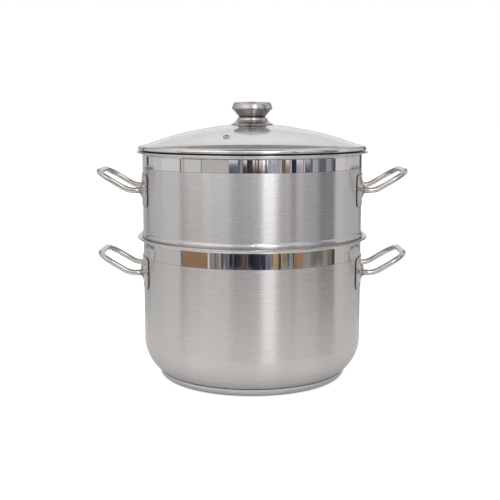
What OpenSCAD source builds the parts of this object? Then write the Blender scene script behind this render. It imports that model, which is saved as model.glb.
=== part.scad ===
// Two-tier steamer pot: pot with a sandwich base, steamer insert and domed glass lid.
// Millimetres. The origin is the centre of the base on the stove, +Z is up, the handles lie along X.

/* [Body] */
// Outside diameter of the pot and the steamer
body_d = 300; // [285:1:315]
// Thickness of the drawn steel sheet
sheet_t = 1; // [0.8:0.1:1.2]
// Height of the pot's lip above the stove
pot_h = 195; // [170:1:230]
// Height of the steamer's lip above the pot's lip
steamer_rise = 115; // [95:1:150]

/* [Base] */
// Diameter of the pot where the base capsule ends
base_d = 257; // [250:1:262]
// Height of the capsule's upper edge above the stove
base_h = 10.5; // [9.5:0.1:12]
// Radius of the capsule's lower edge
base_edge_r = 8.5; // [6:0.1:9]
// Thickness of the capsule's sheet
base_sheet_t = 0.8; // [0.5:0.1:1]
// How far the capsule stands proud of the pot at its upper edge
base_proud = 0.4; // [0.2:0.1:0.6]
// Distance from the aluminium disc's edge to where the capsule's edge begins to round up
core_margin = 0.5; // [0.3:0.1:3]
// Radius of the large curve from the pot's wall towards the base
corner_r = 53.75; // [50:0.25:62]
// Radius of the small curve from there to the floor
toe_r = 14; // [12:0.5:16]

/* [Lip] */
// How far the lips stand out from the wall
lip_out = 8; // [7:0.1:10]
// Radius under the flare, between wall and lip
flare_r = 4.5; // [4:0.5:5]
// Radius of the hemmed edge
hem_r = 1.2; // [1:0.1:1.5]

/* [Steamer seat] */
// Gap left between parts that rest on each other
seat_gap = 0.3; // [0.2:0.05:0.5]
// Radius of the bead that rests in the pot's mouth
bead_r = 6.2; // [5.6:0.1:7]
// How far the bead stands out from the wall
bead_out = 2; // [1.6:0.1:2.6]
// Gap between the skirt and the pot's inside
skirt_gap = 1.2; // [0.8:0.1:2]
// Depth of the skirt below the pot's lip
skirt_depth = 22; // [18:1:32]
// Radius between skirt and perforated floor
skirt_corner_r = 8; // [5:0.5:10]

/* [Steam holes] */
// Diameter of one steam hole
hole_d = 10; // [6:0.5:14]
// Distance between rings of holes
hole_pitch = 30; // [26:1:32]
// Number of rings round the middle hole
hole_rings = 4; // [1:1:4]
// Holes added with each ring
holes_per_ring = 6; // [4:1:8]

/* [Handle plates] */
// Width of a plate across the wall
plate_w = 122; // [112:1:126]
// Height of a plate
plate_h = 44; // [40:1:50]
// Thickness of a plate
plate_t = 1; // [0.8:0.1:1.5]
// Radius of a plate's corners
plate_corner_r = 7.5; // [3:0.5:9]
// Height of the raised boss over its plate
boss_h = 4; // [3:0.5:5]
// Height of the boss from its lower to its upper edge
boss_w = 25; // [20:1:30]
// Distance from a rod's middle line in to the centre of the boss's round end
boss_end_in = 2; // [1:0.5:5]
// Diameter of a spot-weld mark
spot_d = 3.2; // [2:0.2:4]
// Depth of a spot-weld mark
spot_depth = 0.3; // [0.1:0.05:0.4]
// Distance from a spot-weld mark to the plate's edges
spot_inset = 5; // [4:0.5:6]

/* [Handles] */
// Length over both handles
handle_span = 420; // [410:1:440]
// Diameter of the handle rod
rod_d = 8; // [6:0.5:9]
// Distance between the two rods of a handle
rod_spacing = 88; // [84:1:90]
// Distance from the pot's lip down to its handles
pot_handle_drop = 47; // [44:1:70]
// Distance from the steamer's lip down to its handles
steamer_handle_drop = 51; // [44:1:60]
// Distance from the wall to the upward bend
root_len = 7; // [6:0.5:10]
// Radius of the upward bend
bend_r = 30; // [20:1:34]
// Angle at which the handle rises
bend_angle = 31; // [20:1:36]
// Radius of the two outer corners
grip_corner_r = 22; // [14:1:26]
// Clearance round a rod in its plate
rod_clear = 0.1; // [0.05:0.05:0.2]
// Gap between a rod's end and the wall
rod_end_gap = 0.5; // [0.3:0.1:1.5]
// Radius of a weld bead
weld_r = 1.3; // [1:0.1:1.6]
// Depth of a weld bead's foot below the top of the boss
weld_foot = 1.5; // [1.2:0.1:1.8]

/* [Lid] */
// Thickness of the glass
glass_t = 4; // [3:0.5:4]
// Height of the dome from its edge to its top
dome_rise = 30; // [22:1:40]
// Radius of the band's round section
band_r = 3.7; // [3.6:0.1:4.2]
// Thickness of the band's sheet
band_t = 0.6; // [0.4:0.1:0.7]
// Distance from the outside of the lip to the outside of the band
band_inset = 2; // [1.5:0.1:2.6]
// Gap between the band's flange and the steamer's inside
flange_gap = 1.7; // [1:0.1:2.5]
// Depth of the band's flange
flange_depth = 6; // [4:0.5:10]
// How far the glass reaches past the middle of the band's round section
glass_reach = 0.6; // [0.2:0.1:0.9]
// Height of the dome's edge over the middle of the band's round section
glass_lift = 2; // [1.7:0.1:2.2]
// Clearance between glass and metal
glass_clear = 0.05; // [0.02:0.01:0.1]

/* [Vent] */
// Distance from the lid's middle to the vent
vent_at = 105; // [70:1:115]
// Direction of the vent, from +X
vent_angle = 252; // [200:1:340]
// Diameter of the opening through the eyelet
vent_bore_d = 4.4; // [3:0.1:5]
// Diameter of the eyelet's tube
vent_tube_d = 6.4; // [5.6:0.1:7]
// Diameter of the eyelet's rolled edge
vent_rim_d = 9.4; // [8.4:0.1:11]
// Height of the eyelet's rolled edge
vent_rim_h = 1; // [0.6:0.1:1.4]
// Gap between the eyelet's lower edge and the glass, which curves down there
vent_gap = 0.25; // [0.15:0.05:0.4]

/* [Knob] */
// Height of the knob over the glass
knob_h = 30; // [28:0.5:34]
// Height from the glass to the waist
waist_h = 10; // [9:0.5:11]
// Height from the waist to the widest place
cone_h = 10.5; // [9:0.5:12]
// Largest radius of the knob
knob_r = 27.6; // [26:0.1:30]
// Radius of the knob's side at its top
knob_top_r = 24.6; // [23:0.1:25.5]
// Radius of the knob's upper edge
knob_edge_r = 3; // [2:0.5:4]
// Height by which the knob's top is domed
knob_crown = 0.5; // [0.2:0.1:1]
// How far the cone's flange lies in from the cap's edge
cone_flange_in = 0.3; // [0.1:0.1:0.6]
// Radius of the waist
waist_r = 18; // [16.5:0.1:19]
// Height of the bevel under the waist
bevel_h = 2.4; // [2:0.1:3]
// Width of the bevel under the waist
bevel_w = 2.2; // [1.6:0.1:2.6]
// Radius of the skirt on the glass
skirt_r = 29; // [27:0.1:32]
// Radius of the skirt's hollow curve
skirt_curve_r = 24; // [14:1:60]
// Thickness of the knob's sheet
knob_t = 0.8; // [0.6:0.1:1]
// Radius of the threaded pillar
pillar_r = 8; // [7:0.5:10]
// Clearance round the pillar and over its head
pillar_clear = 0.1; // [0.05:0.05:0.2]
// Radius of the pillar's head under the knob's top
pillar_head_r = 14; // [12:0.5:18]
// Thickness of the pillar's head
pillar_head_t = 3; // [2:0.5:4]
// Diameter of the screw
screw_d = 5; // [4:0.5:6]
// Length of the screw under its head
screw_len = 22; // [18:1:26]
// Diameter of the screw's head
screw_head_d = 10; // [9:0.5:12]
// Height of the screw's head
screw_head_h = 3; // [2.6:0.2:3.6]
// Height of the straight side of the screw's head
screw_head_side = 1.2; // [0.8:0.1:1.6]
// Width of the cross slots in the screw's head
screw_slot_w = 1.4; // [1:0.1:1.8]
// Diameter of the hole for the screw in the glass
glass_hole_d = 8; // [7.5:0.5:9]
// Thickness of the two gaskets
gasket_t = 1.2; // [0.8:0.1:1.6]
// Radius of the two gaskets
gasket_r = 9; // [8:0.5:11]
// Clearance between the gaskets and the screw
gasket_clear = 0.1; // [0.05:0.05:0.3]
// Radius of the steel washer
washer_r = 8; // [7:0.5:9]
// Thickness of the steel washer
washer_t = 1; // [0.8:0.1:1.5]
// Clearance between the washer and the screw
washer_clear = 0.2; // [0.1:0.05:0.4]

/* [Hidden] */
$fn = 96;

steel = [0.72, 0.71, 0.70];
polished = [0.80, 0.80, 0.79];
aluminium = [0.66, 0.67, 0.69];
dark_steel = [0.48, 0.46, 0.45];
silicone = [0.86, 0.86, 0.84];

// A little more than a cut needs, so that it passes right through
over = 1;

// Rounded to a thousandth, so that shapes which share this height or distance really meet there
function even(v) = round(v * 1000) / 1000;

body_r = body_d / 2;
inside_r = body_r - sheet_t;
seam_r = base_d / 2;
flat_r = seam_r + base_proud - base_edge_r;
steamer_h = pot_h + steamer_rise;
lip_r = body_r + lip_out;

// The large curve's centre, and the angle below the horizontal at which it meets the capsule
corner_x = body_r - corner_r;
corner_z = even(base_h + sqrt(pow(corner_r, 2) - pow(seam_r - corner_x, 2)));
toe_angle = acos((seam_r - corner_x) / corner_r);
toe_x = even(corner_x + (corner_r - toe_r) * cos(toe_angle));
toe_z = even(corner_z - (corner_r - toe_r) * sin(toe_angle));
floor_z = toe_z - toe_r;

// The lip: its bend's centre and the height at which the straight wall ends
flare_x = body_r + flare_r;
flare_top_r = flare_r + sheet_t;
function wall_end(lip_z) = lip_z - flare_top_r;

// The steamer's bead rests in the rounded mouth of the pot
bead_x = body_r + bead_out - bead_r;
bead_z = even(wall_end(pot_h) + sqrt(pow(bead_r + flare_top_r + seat_gap, 2) - pow(flare_x - bead_x, 2)));
skirt_out_r = inside_r - skirt_gap;
skirt_in_r = skirt_out_r - sheet_t;
skirt_floor_z = pot_h - skirt_depth;

// The plates: a circle segment boss_w high stands boss_h over the plate and follows the wall
plate_r = body_r + plate_t;
boss_round = (pow(boss_w / 2, 2) + pow(boss_h, 2)) / (2 * boss_h);
boss_x = plate_r + boss_h - boss_round;
rod_r = rod_d / 2;
rod_y = rod_spacing / 2;
rod_turn = asin(rod_y / (plate_r + boss_h));
boss_end_y = rod_y - boss_end_in;

// The rod's facets: sides round it, and steps in its two kinds of bend
rod_sides = 20;
bend_steps = 5;
corner_steps = 8;

// The handles: where the rod starts, bends and ends
rod_start = sqrt(pow(body_r, 2) - pow(rod_y - rod_r, 2)) + rod_end_gap;
bend_x = body_r + root_len;
rise_x = bend_x + bend_r * sin(bend_angle);
rise_z = bend_r * (1 - cos(bend_angle));
rise_len = (handle_span / 2 - rod_r - rise_x) / cos(bend_angle) - grip_corner_r;
pot_handle_z = pot_h - pot_handle_drop;
steamer_handle_z = steamer_h - steamer_handle_drop;

// The band's round section stands on the steamer's lip, and the glass ends inside it
band_x = lip_r - band_inset - band_r;
band_z = steamer_h + seat_gap + band_r;
band_in_r = band_r - band_t;
flange_out_r = inside_r - flange_gap;
glass_edge_r = band_x + glass_reach;
dome_edge_z = band_z + glass_lift;
dome_r = (pow(band_x, 2) + pow(dome_rise, 2)) / (2 * dome_rise);
dome_z = dome_edge_z + dome_rise - dome_r;
glass_top = dome_z + dome_r;
glass_under = glass_top - glass_t;
function glass_at(x) = dome_z + sqrt(pow(dome_r, 2) - pow(x, 2));
function glass_below(x) = dome_z + sqrt(pow(dome_r - glass_t, 2) - pow(x, 2));
vent_under = glass_t + vent_gap + vent_rim_h;

knob_top = glass_top + knob_h;
waist_z = glass_top + waist_h;
widest_z = waist_z + cone_h;
pillar_top = knob_top - knob_crown - knob_t - pillar_clear;
screw_r = screw_d / 2;
thread_clear = 0.05;
washer_z = glass_below(gasket_r) - gasket_t - washer_t;

// Points of an arc round [x, z], with radius r, from angle a to angle b
function arc(x, z, r, a, b, steps = 10) =
    [for (i = [0 : steps]) let (t = a + (b - a) * i / steps) [x + r * cos(t), z + r * sin(t)]];

// The centre of an arc of radius r from one point to another, on the left of the way between them
function arc_centre(from, to, r) =
    let (way = to - from, half = norm(way) / 2)
    (from + to) / 2 + sqrt(pow(r, 2) - pow(half, 2)) * [-way[1], way[0]] / norm(way);

// A rectangle from [x0, z0] to [x1, z1]
module block(x0, z0, x1, z1) {
    translate([x0, z0]) square([x1 - x0, z1 - z0]);
}

// Half of the pot's outline, filled, drawn in by inset
module pot_outline(inset, top) {
    split_z = even(corner_z - (corner_r - inset) * sin(toe_angle));
    block(0, corner_z, body_r - inset, top);
    block(0, split_z, corner_x, corner_z);
    intersection() {
        translate([corner_x, corner_z]) circle(corner_r - inset);
        block(0, split_z, body_r, corner_z);
    }
    intersection() {
        translate([toe_x, toe_z]) circle(toe_r - inset);
        block(0, floor_z, body_r, split_z);
    }
    block(0, floor_z + inset, toe_x, split_z);
}

// The flared and hemmed lip's section, from the wall's end to its top at lip_z
module lip_section(lip_z) {
    intersection() {
        translate([flare_x, wall_end(lip_z)]) difference() {
            circle(flare_top_r);
            circle(flare_r);
        }
        block(0, wall_end(lip_z), flare_x, lip_z);
    }
    block(flare_x, lip_z - sheet_t, lip_r - hem_r, lip_z);
    translate([lip_r - hem_r, lip_z - hem_r]) circle(hem_r);
}

module pot_shell() {
    color(steel) rotate_extrude() {
        difference() {
            pot_outline(0, wall_end(pot_h));
            pot_outline(sheet_t, pot_h);
        }
        lip_section(pot_h);
    }
}

// Half of the capsule's outline, filled, drawn in by inset
module capsule_outline(inset) {
    side_r = seam_r + base_proud - inset;
    edge_r = base_edge_r - inset;
    block(0, base_edge_r, side_r, base_h);
    intersection() {
        translate([side_r - edge_r, base_edge_r]) circle(edge_r);
        block(0, 0, side_r, base_edge_r);
    }
    block(0, inset, side_r - edge_r, base_h);
}

module base_cap() {
    color(steel) rotate_extrude() difference() {
        capsule_outline(0);
        capsule_outline(base_sheet_t);
        pot_outline(0, pot_h);
        block(0, base_sheet_t, toe_x, base_h + over);
    }
}

module base_core() {
    color(aluminium) rotate_extrude() difference() {
        block(0, base_sheet_t, flat_r - core_margin, base_h);
        pot_outline(0, pot_h);
    }
}

// One handle plate, on the +X side, with its boss's middle at height z
module plate(z) {
    color(polished) translate([0, 0, z]) difference() {
        union() {
            intersection() {
                wall_bar() block(body_r, -plate_h, plate_r, plate_h);
                across_wall() rounded_plate();
            }
            boss(0);
        }
        boss(plate_t);
        for (side = [-1, 1]) translate([corner_x, side * rod_y, 0])
            rotate([0, 90, 0]) cylinder(r = rod_r + rod_clear, h = body_r);
        for (side = [-1, 0, 1], level = [-1, 1]) spot_mark(side, level);
    }
}

// A section bent round the wall, to a little past the plate's edges
module wall_bar() {
    spare_turn = 2;
    turn = asin(plate_w / 2 / body_r) + spare_turn;
    rotate([0, 0, -turn]) rotate_extrude(angle = 2 * turn, $fn = 360) children();
}

// A flat shape, drawn as seen from +X, pushed through the wall
module across_wall() {
    translate([corner_x, 0, 0]) rotate([90, 0, 90]) linear_extrude(body_r) children();
}

module rounded_plate() {
    half_w = plate_w / 2 - plate_corner_r;
    half_h = plate_h / 2 - plate_corner_r;
    square([plate_w, 2 * half_h], center = true);
    square([2 * half_w, plate_h], center = true);
    for (x = [-half_w, half_w], y = [-half_h, half_h])
        translate([x, y]) circle(plate_corner_r, $fn = 48);
}

// The raised boss as a filled solid: a crowned bar round the wall, cut to round ends.
// Drawn in by inset it is the boss's hollow, and then reaches a little into the wall.
module boss(inset) {
    end_r = boss_w / 2 - inset;
    intersection() {
        wall_bar() intersection() {
            translate([boss_x, 0]) circle(boss_round - inset);
            block(inset > 0 ? body_r - over : body_r, -boss_w, plate_r + boss_h, boss_w);
        }
        across_wall() {
            square([2 * boss_end_y, 2 * end_r], center = true);
            for (side = [-1, 1]) translate([side * boss_end_y, 0]) circle(end_r);
        }
    }
}

// One of the six spot-weld marks: a shallow round dimple
module spot_mark(side, level) {
    ball_r = (pow(spot_d / 2, 2) + pow(spot_depth, 2)) / (2 * spot_depth);
    turn = asin((plate_w / 2 - spot_inset) / plate_r);
    rotate([0, 0, side * turn])
        translate([plate_r + ball_r - spot_depth, 0, level * (plate_h / 2 - spot_inset)]) sphere(ball_r);
}

// The middle line of a bent-rod handle, from one root to the middle of the grip
half_path = concat(
    [[rod_start, rod_y, 0]],
    [for (i = [0 : bend_steps]) let (a = bend_angle * i / bend_steps)
        [bend_x + bend_r * sin(a), rod_y, bend_r * (1 - cos(a))]],
    [for (i = [0 : corner_steps]) let (
        a = 90 * i / corner_steps,
        along = rise_len + grip_corner_r * sin(a),
        across = rod_y - grip_corner_r * (1 - cos(a)))
        [rise_x + along * cos(bend_angle), across, rise_z + along * sin(bend_angle)]]
);
half_count = len(half_path);
rod_path = concat(half_path, [for (i = [half_count - 1 : -1 : 0])
    [half_path[i][0], -half_path[i][1], half_path[i][2]]]);

function unit(v) = v / norm(v);
function tangent(path, i) = unit(
    (i < len(path) - 1 ? unit(path[i + 1] - path[i]) : [0, 0, 0]) +
    (i > 0 ? unit(path[i] - path[i - 1]) : [0, 0, 0]));

// A round bar along a path; up is a direction that the path never takes
module sweep(path, r, up) {
    rings = len(path);
    points = [for (i = [0 : rings - 1])
        let (t = tangent(path, i), u = unit(up - (up * t) * t), v = cross(t, u))
        for (k = [0 : rod_sides - 1]) let (a = 360 * k / rod_sides)
        path[i] + r * (cos(a) * u + sin(a) * v)];
    sides = [for (i = [0 : rings - 2], k = [0 : rod_sides - 1])
        let (a = i * rod_sides + k, b = i * rod_sides + (k + 1) % rod_sides)
        [a, a + rod_sides, b + rod_sides, b]];
    ends = [
        [for (k = [0 : rod_sides - 1]) k],
        [for (k = [rod_sides - 1 : -1 : 0]) (rings - 1) * rod_sides + k]
    ];
    polyhedron(points, concat(sides, ends), convexity = 4);
}

// One bent-rod handle, on the +X side, with its roots at height z
module handle(z) {
    color(polished) translate([0, 0, z])
        sweep(rod_path, rod_r, [-sin(bend_angle), 0, cos(bend_angle)]);
}

// The weld beads of one handle: collars round the rods, standing on the boss
module welds(z) {
    foot_r = rod_r + weld_r + weld_foot / 2;
    color(dark_steel) translate([0, 0, z]) for (side = [-1, 1]) difference() {
        rotate([0, 0, side * rod_turn]) translate([plate_r + boss_h - weld_foot, 0, 0]) rotate([0, 90, 0])
            cylinder(r1 = foot_r, r2 = rod_r + weld_r / 2, h = weld_foot + weld_r, $fn = 48);
        boss(0);
        translate([corner_x, side * rod_y, 0]) rotate([0, 90, 0]) cylinder(r = rod_r, h = body_r);
    }
}

module pot_right_plate() plate(pot_handle_z);
module pot_left_plate() rotate([0, 0, 180]) plate(pot_handle_z);
module pot_right_handle() handle(pot_handle_z);
module pot_left_handle() rotate([0, 0, 180]) handle(pot_handle_z);
module pot_handle_welds() {
    for (turn = [0, 180]) rotate([0, 0, turn]) welds(pot_handle_z);
}

// Half of the steamer's outside, filled
module steamer_outline() {
    block(0, bead_z, body_r, wall_end(steamer_h));
    translate([bead_x, bead_z]) circle(bead_r);
    block(0, skirt_floor_z + skirt_corner_r, skirt_out_r, bead_z);
    translate([skirt_out_r - skirt_corner_r, skirt_floor_z + skirt_corner_r]) circle(skirt_corner_r);
    block(0, skirt_floor_z, skirt_out_r - skirt_corner_r, skirt_floor_z + skirt_corner_r);
}

// Half of the steamer's inside, filled
module steamer_hollow() {
    inner_corner_r = skirt_corner_r - sheet_t;
    block(0, bead_z, inside_r, steamer_h);
    translate([bead_x, bead_z]) circle(bead_r - sheet_t);
    block(0, skirt_floor_z + skirt_corner_r, skirt_in_r, bead_z);
    translate([skirt_in_r - inner_corner_r, skirt_floor_z + skirt_corner_r]) circle(inner_corner_r);
    block(0, skirt_floor_z + sheet_t, skirt_in_r - inner_corner_r, skirt_floor_z + skirt_corner_r);
}

module steamer_shell() {
    color(steel) difference() {
        rotate_extrude() {
            difference() {
                steamer_outline();
                steamer_hollow();
            }
            lip_section(steamer_h);
        }
        translate([0, 0, skirt_floor_z - over]) steam_holes(sheet_t + 2 * over);
    }
}

module steam_holes(depth) {
    cylinder(d = hole_d, h = depth, $fn = 32);
    for (ring = [1 : hole_rings], i = [0 : ring * holes_per_ring - 1])
        rotate([0, 0, i * 360 / (ring * holes_per_ring)])
            translate([ring * hole_pitch, 0, 0]) cylinder(d = hole_d, h = depth, $fn = 32);
}

module steamer_right_plate() plate(steamer_handle_z);
module steamer_left_plate() rotate([0, 0, 180]) plate(steamer_handle_z);
module steamer_right_handle() handle(steamer_handle_z);
module steamer_left_handle() rotate([0, 0, 180]) handle(steamer_handle_z);
module steamer_handle_welds() {
    for (turn = [0, 180]) rotate([0, 0, turn]) welds(steamer_handle_z);
}

// The dome as a solid between two spheres, grown by grow on both sides
module dome(grow, edge_r) {
    difference() {
        intersection() {
            translate([0, 0, dome_z]) sphere(dome_r + grow, $fn = 180);
            translate([0, 0, band_z - band_r]) cylinder(r = edge_r, h = dome_rise + 2 * band_r);
        }
        translate([0, 0, dome_z]) sphere(dome_r - glass_t - grow, $fn = 180);
    }
}

// Puts its children on the glass at the vent, with +Z along the glass's normal
module at_vent() {
    translate([0, 0, dome_z]) rotate([0, 0, vent_angle]) rotate([0, asin(vent_at / dome_r), 0])
        translate([0, 0, dome_r]) children();
}

module lid_glass() {
    color("lightcyan", 0.35) difference() {
        dome(0, glass_edge_r);
        translate([0, 0, glass_under - over]) cylinder(d = glass_hole_d, h = glass_t + 2 * over);
        at_vent() translate([0, 0, -glass_t - over])
            cylinder(d = vent_tube_d + 2 * glass_clear, h = glass_t + 2 * over, $fn = 32);
    }
}

// A round channel that holds the glass's edge, a ledge and a flange that keeps the lid in place
module lid_band() {
    color(polished) difference() {
        rotate_extrude() {
            translate([band_x, band_z]) difference() {
                circle(band_r);
                circle(band_in_r);
            }
            block(flange_out_r - band_t, band_z - band_r, band_x, band_z - band_in_r);
            block(flange_out_r - band_t, band_z - band_r - flange_depth, flange_out_r, band_z - band_r);
        }
        dome(glass_clear, glass_edge_r + glass_clear);
    }
}

module vent_eyelet() {
    color(dark_steel) at_vent() rotate_extrude($fn = 48) difference() {
        union() {
            block(0, -vent_under, vent_tube_d / 2, vent_rim_h);
            for (base = [0, -vent_under]) translate([0, base]) rolled_rim();
        }
        block(0, -vent_under - over, vent_bore_d / 2, vent_rim_h + over);
    }
}

// Half of one rolled rim of the eyelet
module rolled_rim() {
    block(0, 0, vent_rim_d / 2 - vent_rim_h / 2, vent_rim_h);
    translate([vent_rim_d / 2 - vent_rim_h / 2, vent_rim_h / 2]) circle(vent_rim_h / 2);
}

// The cap's side leans in from knob_r to knob_top_r and rounds over to a slightly domed top
module knob_cap() {
    edge_x = knob_top_r - knob_edge_r;
    edge_z = knob_top - knob_crown - knob_edge_r;
    side_z = widest_z + knob_t;
    // The angle at which the leaning side meets the upper edge's curve
    side = [knob_r - edge_x, side_z - edge_z];
    lean = atan2(side[1], side[0]) + acos(knob_edge_r / norm(side));
    crown_steps = 6;
    color(steel) rotate_extrude() difference() {
        polygon(concat(
            [[0, widest_z], [knob_r, widest_z], [knob_r, side_z]],
            arc(edge_x, edge_z, knob_edge_r, lean, 90),
            [for (i = [crown_steps - 1 : -1 : 0]) let (share = i / crown_steps)
                [edge_x * share, knob_top - knob_crown * pow(share, 2)]]
        ));
        polygon(concat(
            [[0, widest_z - over], [knob_r - knob_t, widest_z - over], [knob_r - knob_t, side_z]],
            arc(edge_x, edge_z, knob_edge_r - knob_t, lean, 90),
            [[0, knob_top - knob_crown - knob_t]]
        ));
    }
}

// The cone's sheet ends in a flat flange under the cap's edge
module knob_cone() {
    flange_r = knob_r - cone_flange_in;
    color(dark_steel) rotate_extrude() polygon([
        [pillar_r + pillar_clear, waist_z],
        [waist_r, waist_z],
        [flange_r - knob_t, widest_z - knob_t],
        [flange_r, widest_z - knob_t],
        [flange_r, widest_z],
        [flange_r - 2 * knob_t, widest_z],
        [waist_r - knob_t, waist_z + knob_t],
        [pillar_r + pillar_clear, waist_z + knob_t]
    ]);
}

// A bell: a small bevel under the waist, then a hollow curve out to the glass, cut level at its foot
module knob_skirt() {
    foot_z = glass_at(skirt_r - 2 * knob_t) + glass_clear;
    bevel_z = waist_z - bevel_h;
    bevel_r = waist_r + bevel_w;
    hole_r = pillar_r + pillar_clear;
    // The hollow curve runs from the bevel's foot to the skirt's edge
    from = [bevel_r, bevel_z];
    to = [skirt_r, foot_z + knob_t / 2];
    centre = arc_centre(from, to, skirt_curve_r);
    start = atan2(from[1] - centre[1], from[0] - centre[0]);
    end = atan2(to[1] - centre[1], to[0] - centre[0]);
    color(steel) rotate_extrude() difference() {
        polygon(concat(
            [[hole_r, waist_z], [waist_r, waist_z]],
            arc(centre[0], centre[1], skirt_curve_r, start, end),
            arc(centre[0], centre[1], skirt_curve_r + knob_t, end, start),
            [[waist_r - knob_t, waist_z - knob_t], [hole_r, waist_z - knob_t]]
        ));
        block(0, foot_z - over, skirt_r + over, foot_z);
    }
}

module knob_insert() {
    foot_z = glass_top + gasket_t;
    color(aluminium) difference() {
        union() {
            translate([0, 0, foot_z]) cylinder(r = pillar_r, h = pillar_top - foot_z);
            translate([0, 0, pillar_top - pillar_head_t]) cylinder(r = pillar_head_r, h = pillar_head_t);
        }
        translate([0, 0, foot_z - over])
            cylinder(r = screw_r + thread_clear, h = washer_z + screw_len + 2 * over - foot_z);
    }
}

module knob_screw() {
    dome_h = screw_head_h - screw_head_side;
    head_curve_r = (pow(screw_head_d / 2, 2) + pow(dome_h, 2)) / (2 * dome_h);
    color(polished) difference() {
        union() {
            translate([0, 0, washer_z]) cylinder(r = screw_r, h = screw_len);
            translate([0, 0, washer_z - screw_head_h]) rotate_extrude() intersection() {
                block(0, 0, screw_head_d / 2, screw_head_h);
                translate([0, head_curve_r]) circle(head_curve_r);
            }
        }
        for (turn = [0, 90]) rotate([0, 0, turn])
            translate([-screw_head_d / 4, -screw_slot_w / 2, washer_z - screw_head_h - over])
                cube([screw_head_d / 2, screw_slot_w, over + screw_head_h / 2]);
    }
}

module ring(z, outer_r, inner_r, h) {
    translate([0, 0, z]) difference() {
        cylinder(r = outer_r, h = h);
        translate([0, 0, -over]) cylinder(r = inner_r, h = h + 2 * over);
    }
}

module screw_washer() {
    color(polished) ring(washer_z, washer_r, screw_r + washer_clear, washer_t);
}

module upper_gasket() {
    color(silicone) ring(glass_top, gasket_r, screw_r + gasket_clear, gasket_t);
}

module lower_gasket() {
    color(silicone) ring(washer_z + washer_t, gasket_r, screw_r + gasket_clear, gasket_t);
}

pot_shell();
base_core();
base_cap();
pot_left_plate();
pot_right_plate();
pot_left_handle();
pot_right_handle();
pot_handle_welds();
steamer_shell();
steamer_left_plate();
steamer_right_plate();
steamer_left_handle();
steamer_right_handle();
steamer_handle_welds();
lid_glass();
lid_band();
vent_eyelet();
knob_cap();
knob_cone();
knob_skirt();
knob_insert();
knob_screw();
screw_washer();
upper_gasket();
lower_gasket();
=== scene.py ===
# %% [markdown]
# # A two-tier steamer pot, dressed from its CAD frame
# The pot, the steamer insert and the lid are already built to size. They come in here as a fixed
# frame: one object for every piece, in metres, with the handles along X and +Z up.
# Nothing in the frame is moved or reshaped. What this lesson adds is the look: finely modelled
# stand-ins for the pieces whose curves a camera sees closely, and materials for all of them.

# %% Load the frame
import math
import random

import bpy
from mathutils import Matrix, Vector


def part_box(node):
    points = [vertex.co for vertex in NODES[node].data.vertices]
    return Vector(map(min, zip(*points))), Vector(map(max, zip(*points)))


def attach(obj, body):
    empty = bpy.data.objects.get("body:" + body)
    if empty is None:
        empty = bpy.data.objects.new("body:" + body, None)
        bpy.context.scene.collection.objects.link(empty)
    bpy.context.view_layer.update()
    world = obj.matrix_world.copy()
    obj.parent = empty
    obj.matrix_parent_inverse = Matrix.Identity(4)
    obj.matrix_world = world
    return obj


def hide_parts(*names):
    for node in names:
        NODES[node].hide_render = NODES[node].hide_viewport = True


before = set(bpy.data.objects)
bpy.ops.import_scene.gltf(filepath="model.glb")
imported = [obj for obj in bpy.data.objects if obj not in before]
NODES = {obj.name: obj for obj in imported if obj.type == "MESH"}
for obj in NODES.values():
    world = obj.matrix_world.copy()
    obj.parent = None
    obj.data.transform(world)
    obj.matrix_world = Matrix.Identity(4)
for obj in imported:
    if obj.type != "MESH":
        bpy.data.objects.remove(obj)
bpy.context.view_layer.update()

print("pieces in the frame:", len(NODES))

# %% [markdown]
# ## The sizes this script shares with the frame
# Lathe-turned pieces are drawn here again with more points than the frame needs, so the script
# repeats the few numbers that place them. Everything is written in millimetres and turned into
# metres in one place, because small round numbers are easier to read and to check.

# %% Shared sizes, in millimetres
MM = 0.001
BODY_R = 150.0
PLATE_R = 151.0
POT_TOP = 195.0
STEAMER_TOP = 310.0
FLARE_START = 5.5
MIRROR_POT = 169.5
MIRROR_STEAMER = 288.5
ROD_R = 4.0
ROD_Y = 44.0
HANDLE_DROP = {"pot": 47.0, "steamer": 51.0}
RIM = {"pot": POT_TOP, "steamer": STEAMER_TOP}
HANDLE_Z = {tier: RIM[tier] - HANDLE_DROP[tier] for tier in RIM}
print("handle heights:", HANDLE_Z)

# %% [markdown]
# ## Camera
# The photograph was taken a little above the lid, looking slightly down. A camera is only a
# position, a direction and a lens: the lens is found by comparing the width of the pot in the
# picture with its real width, and the tilt by comparing how round the lips look.

# %% Camera
LENS_MM, SENSOR_MM = 66.72, 36
SHIFT_X, SHIFT_Y = -0.00426, -0.01244
STANDS_AT = (0, -1.27545, 0.36456)
LOOKS_DOWN = 0.1432
SEES_FROM, SEES_TO = 0.05, 60

camera_data = bpy.data.cameras.new("camera")
camera_data.sensor_width = SENSOR_MM
camera_data.lens = LENS_MM
camera_data.shift_x = SHIFT_X
camera_data.shift_y = SHIFT_Y
camera_data.clip_start = SEES_FROM
camera_data.clip_end = SEES_TO
camera = bpy.data.objects.new("camera", camera_data)
camera.location = STANDS_AT
camera.rotation_euler = (math.pi / 2 - LOOKS_DOWN, 0, 0)
bpy.context.scene.collection.objects.link(camera)
bpy.context.scene.camera = camera
bpy.context.scene.view_settings.view_transform = "Standard"
print("camera lens:", camera_data.lens, "mm")

# %% [markdown]
# ## Small tools for building materials
# Every material here is a graph of nodes. Short helpers keep the graphs readable: the first ones
# add a node and fill in its inputs, start a material with its Principled shader, or start a group.
# The rest each stand for one step that several materials share, such as a noise or a bump.

# %% Helpers for nodes, materials and groups
def fill(tree, socket, value):
    """Links a socket to the output of another node, or gives it a plain value."""
    if isinstance(value, bpy.types.NodeSocket):
        tree.links.new(value, socket)
    else:
        socket.default_value = value


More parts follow.
